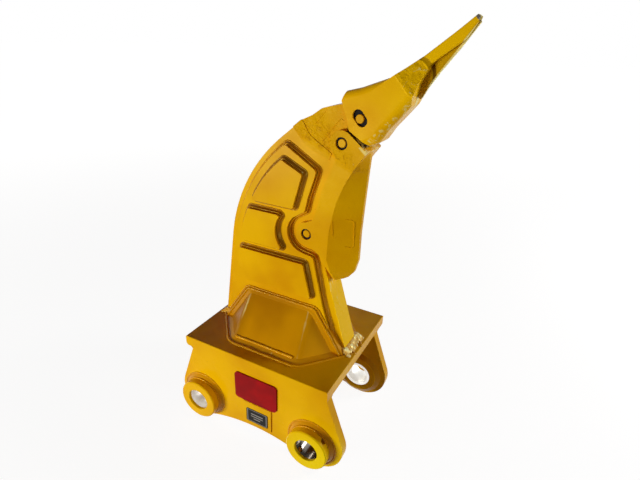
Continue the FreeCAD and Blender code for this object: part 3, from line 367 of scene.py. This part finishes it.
def make_casting_paint():
    """Paint over rough-cast steel, coarser on the adapter nose than on the protector; painted glints
    on both, painted shade at the tooth.
    """
    finish = Finish("casting_paint")
    pits = finish.noise(70.0, 4.0, 0.7, distortion=0.5)
    grain = finish.noise(190.0, 3.0, 0.6)
    toward_tooth = finish.x * 0.7 + finish.z * 0.7
    coarse = finish.above(ADAPTER_FOOT).step(0.0, 0.02) * toward_tooth.fade(0.60, 0.64)
    # Painted glints: pale specks on the coarse nose and on the protector's head.
    painted_sparkles = finish.noise(75.0, 3.0, 0.7).step(0.68, 0.72) * coarse
    head = finish.above(PROTECTOR_HEAD).step(0.0, 0.006) * finish.x.step(-0.002, 0.004)
    painted_sheen = painted_sparkles.most(head * finish.noise(40.0, 3.0, 0.6).step(0.50, 0.56))
    # Painted shade: near black in the gap between the protector's upper lugs and the tooth, which no
    # light reaches.
    across_gap = finish.x * 0.625 + finish.z * 0.781
    gap = across_gap.band(0.727, 0.730, 0.740, 0.744) * abs(finish.y).fade(0.0530, 0.0536)
    gap = gap * finish.x.band(-0.030, -0.024, 0.026, 0.032)
    colour = finish.blend(pits.step(0.50, 0.66) * coarse * 0.7, paint_tones(finish), DEEP_AMBER)
    colour = finish.blend(gap * 0.95, colour, PAINTED_GAP_SHADE)
    return finish.painted(
        finish.blend(painted_sheen * 0.6, colour, GLINT),
        finish.uneven(20.0, 0.24, 0.16),
        finish.skin(pits * (coarse * 1.6 + 0.2) + grain * 0.25, 0.6, 0.004),
    )


# Middle of the tooth's rear opening, and how steeply the tooth rises.
TOOTH_ROOT = Vector((0.001, 0.0, 0.979))
TOOTH_TILT = math.radians(42.0)
# Lines on the tooth's side: a distance along it, the distance across there, and the fall beyond.
FIN_ROOT = (0.173, 0.0196, 0.36)
FIN_EDGE = (0.194, 0.0348, 0.252)
BLADE_FRONT = (0.227, 0.0004, 0.089)
BOX_FRONT = (0.06, 0.044, 0.10)


def tooth_axes(finish):
    """Distances along the tooth from its rear opening, and across it toward the front."""
    x = finish.x - TOOTH_ROOT.x
    z = finish.z - TOOTH_ROOT.z
    along = x * math.cos(TOOTH_TILT) + z * math.sin(TOOTH_TILT)
    across = x * math.sin(TOOTH_TILT) - z * math.cos(TOOTH_TILT)
    return along, across


def make_tooth_paint():
    """Paint on the tooth: painted light on the lumpy neck, painted shade on its notch and fin,
    painted highlights on edges, and a bare worn point.
    """
    finish = Finish("tooth_paint")
    along, across = tooth_axes(finish)
    side = abs(finish.y)

    def beyond(line):
        distance, level, fall = line
        return across - level + (along - distance) * fall

    past_neck = along - (0.228 - ((across + 0.008) / 0.03) ** 2 * 0.012)
    ragged = along + finish.noise(60.0) * 0.016
    neck = ragged.step(0.166, 0.176) * past_neck.fade(-0.002, 0.001)
    notch = past_neck.band(0.0, 0.003, 0.008, 0.013)
    web = beyond(FIN_ROOT).step(-0.004, 0.0) * along.step(0.13, 0.15)
    web = web.most(beyond(BLADE_FRONT).step(-0.002, 0.001) * along.step(0.22, 0.23))
    fin = web * side.band(0.0043, 0.0047, 0.0065, 0.0075)
    edge = web * side.fade(0.0043, 0.0047) * along.fade(0.325, 0.335)
    rim = beyond(FIN_EDGE).step(-0.0042, -0.003) * along.step(0.19, 0.20)
    front = beyond(BOX_FRONT).step(0.0, 0.003) * along.fade(0.17, 0.18)

    dents = finish.cells(58.0, finish.join(finish.x, finish.y, finish.z * 1.2))
    lumps = finish.noise(46.0, 4.0, 0.7, distortion=0.9)
    wave = finish.noise(20.0, 3.0, 0.55)
    worn = (along + (lumps - 0.5) * 0.006).step(0.367, 0.370)
    # Painted highlights on the fin's edge, its rim and spots on the box's front.
    painted_shine = edge * 0.7 + front * lumps.step(0.52, 0.58) * 0.5 + rim * 0.7
    # Painted light: the neck takes a flat lighter yellow.
    colour = finish.blend(neck, paint_tones(finish, CAST_YELLOW, CAST_AMBER), NECK_YELLOW)
    # Painted shade in the low parts of the neck's lumps, and painted glints on their tops.
    colour = finish.blend(neck * lumps.fade(0.36, 0.44) * 0.12, colour, SHADE)
    colour = finish.blend(neck * lumps.step(0.60, 0.66) * 0.6, colour, GLINT)
    # Painted shade in the notch past the neck and on the fin's sides.
    colour = finish.blend(notch * 0.6 + fin * 0.5, colour, SHADE)
    colour = finish.blend(painted_shine, colour, GLINT)
    relief = (dents + lumps * 1.4) * neck + wave * (1 - neck) * 0.2 - notch * 0.6
    return finish.painted(
        finish.blend(worn, colour, BARE_STEEL),
        finish.uneven(20.0, 0.24, 0.16),
        finish.skin(relief, 0.55, 0.005),
        Metallic=worn * 0.8,
    )


def make_machined_steel(name, light, deep, least):
    """Turned steel of a bush, with marks that run round the bore."""
    finish = Finish(name)
    turned = finish.noise(260.0, place=finish.join(finish.x * 0.03, finish.y, finish.z * 0.03))
    tone = finish.noise(12.0, 4.0, 0.6)
    return finish.surface(
        Base_Color=finish.blend(tone.step(0.40, 0.66), light, deep),
        Roughness=tone * 0.2 + least,
        Metallic=1.0,
        Normal=finish.bump(turned, 0.25, 0.0006),
    )


def make_black_rubber():
    finish = Finish("black_rubber")
    grit = finish.noise(300.0, 3.0, 0.6)
    return finish.surface(
        Base_Color=finish.blend(grit, hexed("0B0A09"), hexed("1C1A17")),
        Roughness=grit * 0.2 + 0.6,
        Normal=finish.bump(grit, 0.2, 0.0006),
        Specular_IOR_Level=0.12,
    )


def make_badge_red():
    finish = Finish("badge_red")
    tone = finish.noise(18.0, 3.0, 0.6)
    return finish.surface(
        Base_Color=finish.blend(tone.step(0.3, 0.7), hexed("A60206"), hexed("8E0105")),
        Roughness=tone * 0.12 + 0.25,
        Normal=finish.bump(finish.noise(120.0), 0.08, 0.0006),
        Specular_IOR_Level=0.08,
    )


# Height and half length of each blank bar, as shares of half the label.
LABEL_BARS = ((0.30, 0.55), (-0.05, 0.55), (-0.40, 0.30))


def make_label_black():
    """Black plate with a plain pale border and blank bars."""
    finish = Finish("label_black")
    grit = finish.noise(200.0, 3.0, 0.6)
    low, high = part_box("label_plate")
    middle = (low + high) / 2
    half = (high - low) / 2
    across = abs(finish.x - middle.x) / half.x
    height = (finish.z - middle.z) / half.z
    pale = across.most(abs(height)).band(0.84, 0.86, 0.90, 0.92)
    for level, reach in LABEL_BARS:
        pale = pale.most(abs(height - level).fade(0.05, 0.08) * across.fade(reach, reach + 0.02))
    ink = finish.blend(grit, hexed("0E0D0C"), hexed("1A1815"))
    return finish.surface(
        Base_Color=finish.blend(pale * 0.6, ink, hexed("C9C4B8")),
        Roughness=grit * 0.15 + 0.3,
        Normal=finish.bump(grit, 0.1, 0.0004),
        Specular_IOR_Level=0.12,
    )


def make_finishes():
    return {
        "plate": make_plate_paint(),
        "boot": make_boot_paint(),
        "shank": make_shank_paint(),
        "weld": make_weld_paint(),
        # Painted shade: the bead paint's darker tones stand for the shade in the grooves beside the
        # panels.
        "bead": make_weld_paint("shaded_bead_paint", BEAD_AMBER, BEAD_BROWN),
        "glint": make_glint_weld(),
        "casting": make_casting_paint(),
        "tooth": make_tooth_paint(),
        # Painted light: one turned steel in a lit near-white copy for the bushes and a shaded dark
        # grey copy for the near front bush.
        "bright": make_machined_steel("lit_bush_steel", hexed("FFFEFA"), hexed("F0EDE6"), 0.35),
        "dark": make_machined_steel("shaded_bush_steel", hexed("8A847C"), hexed("2E2A24"), 0.1),
        "rubber": make_black_rubber(),
        "red": make_badge_red(),
        "black": make_label_black(),
    }


# Endings of the pieces' names for each finish; a later line wins, and other pieces are plate.
WORN_BY = {
    "weld": ("weld", "welds", "bead", "beads"),
    "shank": ("shank",),
    "boot": ("_boot",),
    "casting": ("shank_protector", "adapter_nose", "adapter_weld"),
    "tooth": ("tooth",),
    "bead": ("_panel_beads",),
    "glint": ("front_foot_weld",),
    # Bushes take the lit steel copy, and the near front bush the shaded copy.
    "bright": ("_bush",),
    "dark": ("near_front_bush",),
    "rubber": ("_retainers", "_lock"),
    "red": ("badge_plate",),
    "black": ("label_plate",),
}


def dress_frame(finishes):
    for name, node in NODES.items():
        worn = [finish for finish, endings in WORN_BY.items() if name.endswith(endings)]
        for slot in node.material_slots:
            slot.material = finishes[worn[-1] if worn else "plate"]


# Raised runs along welds and casting lines

RUN_INPUTS = ("Radius", "Pitch", "Ripple", "Wander", "Seed")


def make_run_tree():
    """Rounded run laid along a curve, with even ripples and a slight wander of the hand."""
    tree = bpy.data.node_groups.new("weld_run", "GeometryNodeTree")
    tree.interface.new_socket("Geometry", in_out="OUTPUT", socket_type="NodeSocketGeometry")
    tree.interface.new_socket("Geometry", in_out="INPUT", socket_type="NodeSocketGeometry")
    for name in RUN_INPUTS:
        tree.interface.new_socket(name, in_out="INPUT", socket_type="NodeSocketFloat")
    tree.interface.new_socket("Finish", in_out="INPUT", socket_type="NodeSocketMaterial")
    run = Nodes(tree)
    given = [Value(run, socket) for socket in run.add("NodeGroupInput", {}, {}).outputs]
    geometry, radius, pitch, ripple, wander, seed, finish = given[:7]

    spaced = {"Curve": geometry, "Length": pitch / 4}
    line = run.get(0, "GeometryNodeResampleCurve", {"mode": "LENGTH"}, spaced)
    place = run.get(0, "GeometryNodeInputPosition", {}, {})
    drifting = {"Vector": place, "W": seed, "Scale": 45.0}
    drift = run.get("Color", "ShaderNodeTexNoise", {"noise_dimensions": "4D"}, drifting)
    shift = run.get(0, "ShaderNodeVectorMath", {"operation": "SUBTRACT"}, [drift, (0.5, 0.5, 0.5)])
    shift = run.get(0, "ShaderNodeVectorMath", {"operation": "SCALE"}, {0: shift, "Scale": wander})
    line = run.get(0, "GeometryNodeSetPosition", {}, {"Geometry": line, "Offset": shift})

    length = run.get("Length", "GeometryNodeSplineParameter", {}, {})
    phase = (length / pitch).maths("FRACT")
    swell = (phase * math.pi).maths("SINE") * ripple + (1 - ripple * 0.6)
    ring = run.get(0, "GeometryNodeCurvePrimitiveCircle", {}, {"Resolution": 8, "Radius": 1.0})
    swept = {"Curve": line, "Profile Curve": ring, "Scale": radius * swell, "Fill Caps": True}
    body = run.get(0, "GeometryNodeCurveToMesh", {}, swept)
    body = run.get(0, "GeometryNodeSetShadeSmooth", {}, {"Geometry": body})
    body = run.get(0, "GeometryNodeRealizeInstances", {}, {"Geometry": body})
    body = run.get(0, "GeometryNodeSetMaterial", {}, {"Geometry": body, "Material": finish})
    run.add("NodeGroupOutput", {}, [body])
    return tree


# Which number of a point runs across the part, and which one up.
ACROSS = 1
UP = 2
# Limits for what counts as one corner, as the same level and as a crease worth a run.
SAME_CORNER = 1e-5
SAME_LEVEL = 2e-4
SHORTEST_RUN = 0.02


def make_guide(name, paths):
    """Curve object through the paths, each closed where it ends at its start."""
    curve = bpy.data.curves.new(name, "CURVE")
    curve.dimensions = "3D"
    for path in paths:
        closed = (path[0] - path[-1]).length < SAME_CORNER
        points = path[:-1] if closed else path
        spline = curve.splines.new("POLY")
        spline.points.add(len(points) - 1)
        for target, point in zip(spline.points, points):
            target.co = (*point, 1.0)
        spline.use_cyclic_u = closed
    guide = bpy.data.objects.new(name, curve)
    bpy.context.scene.collection.objects.link(guide)
    return guide


def lay_runs(tree, name, paths, finish, sizes):
    """One piece of rounded runs along paths, whose wander is seeded by the length of its name."""
    guide = make_guide(name + "_line", paths)
    modifier = guide.modifiers.new("weld_run", "NODES")
    modifier.node_group = tree
    values = dict(zip(RUN_INPUTS, (*sizes, float(len(name)))))
    values["Finish"] = finish
    for item in tree.interface.items_tree:
        if item.name in values:
            modifier[item.identifier] = values[item.name]
    depsgraph = bpy.context.evaluated_depsgraph_get()
    mesh = bpy.data.meshes.new_from_object(guide.evaluated_get(depsgraph), depsgraph=depsgraph)
    mesh.name = name
    guide.modifiers.remove(modifier)
    bpy.data.objects.remove(guide)
    piece = bpy.data.objects.new(name, mesh)
    bpy.context.scene.collection.objects.link(piece)
    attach(piece, "root")


def crease_lines(name, axis, level, least, most):
    """Paths along the creases of a weld at one level, whose faces meet between two angles."""
    shape = bmesh.new()
    shape.from_mesh(NODES[name].data)
    bmesh.ops.remove_doubles(shape, verts=shape.verts, dist=SAME_CORNER)
    linked = {}
    for edge in shape.edges:
        flat = all(abs(corner.co[axis] - level) < SAME_LEVEL for corner in edge.verts)
        if flat and len(edge.link_faces) == 2 and least < edge.calc_face_angle(0.0) < most:
            first, second = edge.verts
            linked.setdefault(first.index, []).append(second.index)
            linked.setdefault(second.index, []).append(first.index)
    shape.verts.ensure_lookup_table()
    paths = []
    ends = [index for index in linked if len(linked[index]) == 1]
    for start in ends + list(linked):
        path = [start]
        while linked[path[-1]]:
            following = linked[path[-1]].pop()
            linked[following].remove(path[-1])
            path.append(following)
        points = [shape.verts[index].co.copy() for index in path]
        if sum((second - first).length for first, second in zip(points, points[1:])) > SHORTEST_RUN:
            paths.append(points)
    shape.free()
    return paths


# For each kind of run its weld, the piece whose face the weld lies on, and two creases, each with
# its rise over that face and the least and most angle between the surfaces that meet there.
WELD_CREASES = {
    "panel_bead": ("panel_beads", "{side}_doubler", ((0.009, 0.3, 1.2), (0.0, 2.0, 3.1))),
    "doubler_bead": ("doubler_bead", "shank", ((0.009, 0.3, 1.2), (0.0, 2.0, 3.1))),
    "boot_weld": ("boot_weld", "{side}_doubler", ((0.0054, 0.1, 3.1), (0.0, 1.9, 3.1))),
    "foot_weld": ("foot_weld", "base_plate", ((0.013, 0.1, 3.1), (0.0, 1.9, 3.1))),
    "collar_weld": ("collar_welds", "{side}_ear", ((0.0, 1.9, 3.1), (0.013, 0.3, 3.1))),
}

# Radius, ripple spacing, depth of the ripples and wander of the hand for each kind of run.
RUN_SIZES = {
    "panel_bead": (0.0022, 0.007, 0.12, 0.0016),
    "doubler_bead": (0.0024, 0.008, 0.12, 0.0018),
    "boot_weld": (0.0046, 0.010, 0.16, 0.0030),
    "foot_weld": (0.0052, 0.011, 0.18, 0.0036),
    "collar_weld": (0.0034, 0.009, 0.20, 0.0026),
    "adapter_casting_lines": (0.0012, 0.004, 0.0, 0.0006),
    "keel_casting_lines": (0.0014, 0.004, 0.0, 0.0006),
}

# Raised casting lines, as points on the near side; the far side mirrors them.
CASTING_LINES = {
    "adapter_casting_lines": (
        (
            (-0.1031, -0.039, 0.9180),
            (-0.0738, -0.039, 0.9577),
            (-0.0484, -0.039, 0.9897),
            (-0.0391, -0.039, 0.9846),
        ),
        ((-0.1273, -0.039, 0.9663), (-0.1092, -0.039, 0.9861), (-0.0918, -0.039, 1.0106)),
    ),
    "keel_casting_lines": (
        (
            (-0.0201, -0.0334, 0.7004),
            (-0.0029, -0.0229, 0.6974),
            (0.0030, -0.0190, 0.6930),
            (0.0048, -0.0176, 0.6844),
            (0.0059, -0.0156, 0.6130),
            (0.0009, -0.0183, 0.6061),
            (-0.0166, -0.0279, 0.6089),
        ),
        ((-0.0523, -0.0524, 0.6950), (-0.0520, -0.0493, 0.6682), (-0.0513, -0.0475, 0.6431)),
    ),
}


def carrying_face(carrier, side):
    """Axis, level and outward way of the face that a weld lies on."""
    low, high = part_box(carrier.format(side=side))
    if carrier == "base_plate":
        return UP, high.z, 1
    return (ACROSS, low.y, -1) if side == "near" else (ACROSS, high.y, 1)


def add_weld_runs(tree, finishes):
    for kind, (weld, carrier, creases) in WELD_CREASES.items():
        finish = finishes["bead" if kind == "panel_bead" else "weld"]
        for side in ("near", "far"):
            axis, face, way = carrying_face(carrier, side)
            paths = []
            for rise, least, most in creases:
                paths += crease_lines(f"{side}_{weld}", axis, face + rise * way, least, most)
            lay_runs(tree, f"{side}_{kind}_runs", paths, finish, RUN_SIZES[kind])


def add_casting_lines(tree, finishes):
    for name, lines in CASTING_LINES.items():
        paths = [[Vector((x, y * way, z)) for x, y, z in line] for way in (1, -1) for line in lines]
        lay_runs(tree, name, paths, finishes["casting"], RUN_SIZES[name])


# Studio

# Halfway between the front and rear pin bores.
MIDDLE_X = -0.2185

WHITE = (1.0, 1.0, 1.0)
PALE_GREY = (0.92, 0.92, 0.92)
DIM_GREYS = ((0.16, 0.16, 0.16), (0.17, 0.17, 0.17))
# The weak light that fills the shade, from above and from the floor.
FILL = (0.034, 0.015, 0.005)
BOUNCE = (0.08, 0.055, 0.03)

LAMP_TARGET = Vector((MIDDLE_X + 0.15, 0.0, 0.45))
LAMP_DISTANCE = 3.4
# Heading in degrees, height over the floor, width and height, and power of each lamp.
LAMPS = {
    "key_softbox": (-30.0, 0.27, (1.6, 0.5), 87.0),
    "side_softbox": (72.0, 0.60, (0.9, 0.9), 16.0),
    "right_softbox": (124.0, 1.35, (1.0, 1.0), 60.0),
}

# The standpoint solved from the photograph: place, then heading, drop and roll in degrees.
CAMERA_PLACE = (0.4740, -1.1687, 1.2010)
CAMERA_ANGLES = (26.82, 24.78, 2.295)
# Focal length for a sensor 36 mm wide.
CAMERA_LENS = 25.387


def make_floor():
    """White to the camera and in reflections, and dim where it lights the part."""
    finish = Finish("studio_floor")
    far = ((finish.x - MIDDLE_X) ** 2 + finish.y ** 2).maths("SQRT").step(1.2, 5.0)
    white = finish.blend(far, PALE_GREY, WHITE)
    return finish.surface(
        Base_Color=finish.blend(finish.noise(30.0), *DIM_GREYS),
        Roughness=1.0,
        Specular_IOR_Level=0.0,
        Emission_Color=finish.blend(finish.seen(), BOUNCE, white),
        Emission_Strength=1.0,
    )


def add_floor():
    reach = 30.0
    corners = [(x * reach, y * reach, GROUND) for x, y in ((-1, -1), (1, -1), (1, 1), (-1, 1))]
    mesh = bpy.data.meshes.new("studio_floor")
    mesh.from_pydata(corners, [], [(0, 1, 2, 3)])
    mesh.materials.append(make_floor())
    floor = bpy.data.objects.new("studio_floor", mesh)
    bpy.context.scene.collection.objects.link(floor)


def add_lamp(name, heading, height, size, power):
    """Soft lamp that faces the middle of the part."""
    heading = math.radians(heading)
    lamp = bpy.data.lights.new(name, "AREA")
    lamp.shape = "RECTANGLE"
    lamp.size, lamp.size_y = size
    lamp.energy = power
    item = bpy.data.objects.new(name, lamp)
    item.visible_camera = False
    bpy.context.scene.collection.objects.link(item)
    item.location = (
        LAMP_TARGET.x + math.sin(heading) * LAMP_DISTANCE,
        -math.cos(heading) * LAMP_DISTANCE,
        GROUND + height,
    )
    item.rotation_mode = "QUATERNION"
    item.rotation_quaternion = (LAMP_TARGET - item.location).to_track_quat("-Z", "Y")


def light_studio():
    """A low soft lamp in front at the left, two weaker ones at the right, and a faint warm fill."""
    for name, values in LAMPS.items():
        add_lamp(name, *values)
    world = bpy.data.worlds.new("studio")
    world.use_nodes = True
    bpy.context.scene.world = world
    sky = Nodes(world.node_tree)
    colour = sky.blend(sky.seen(), FILL, WHITE)
    background = sky.add("ShaderNodeBackground", {}, {"Color": colour, "Strength": 1.0})
    output = sky.add("ShaderNodeOutputWorld", {}, {})
    sky.tree.links.new(background.outputs[0], output.inputs[0])


def add_camera():
    """The photograph's standpoint: close, above and to the right, with a slight roll."""
    heading, drop, roll = (math.radians(angle) for angle in CAMERA_ANGLES)
    level = math.cos(drop)
    ahead = Vector((-math.sin(heading) * level, math.cos(heading) * level, -math.sin(drop)))
    camera = bpy.data.cameras.new("camera")
    camera.sensor_width = 36.0
    camera.lens = CAMERA_LENS
    camera.clip_start = 0.05
    camera.clip_end = 200.0
    item = bpy.data.objects.new("camera", camera)
    bpy.context.scene.collection.objects.link(item)
    item.location = CAMERA_PLACE
    item.rotation_mode = "QUATERNION"
    item.rotation_quaternion = ahead.to_track_quat("-Z", "Y") @ Quaternion((0.0, 0.0, 1.0), roll)
    bpy.context.scene.camera = item


FINISHES = make_finishes()
RUN_TREE = make_run_tree()
dress_frame(FINISHES)
add_weld_runs(RUN_TREE, FINISHES)
add_casting_lines(RUN_TREE, FINISHES)
add_floor()
light_studio()
add_camera()
bpy.context.scene.view_settings.view_transform = "Standard"
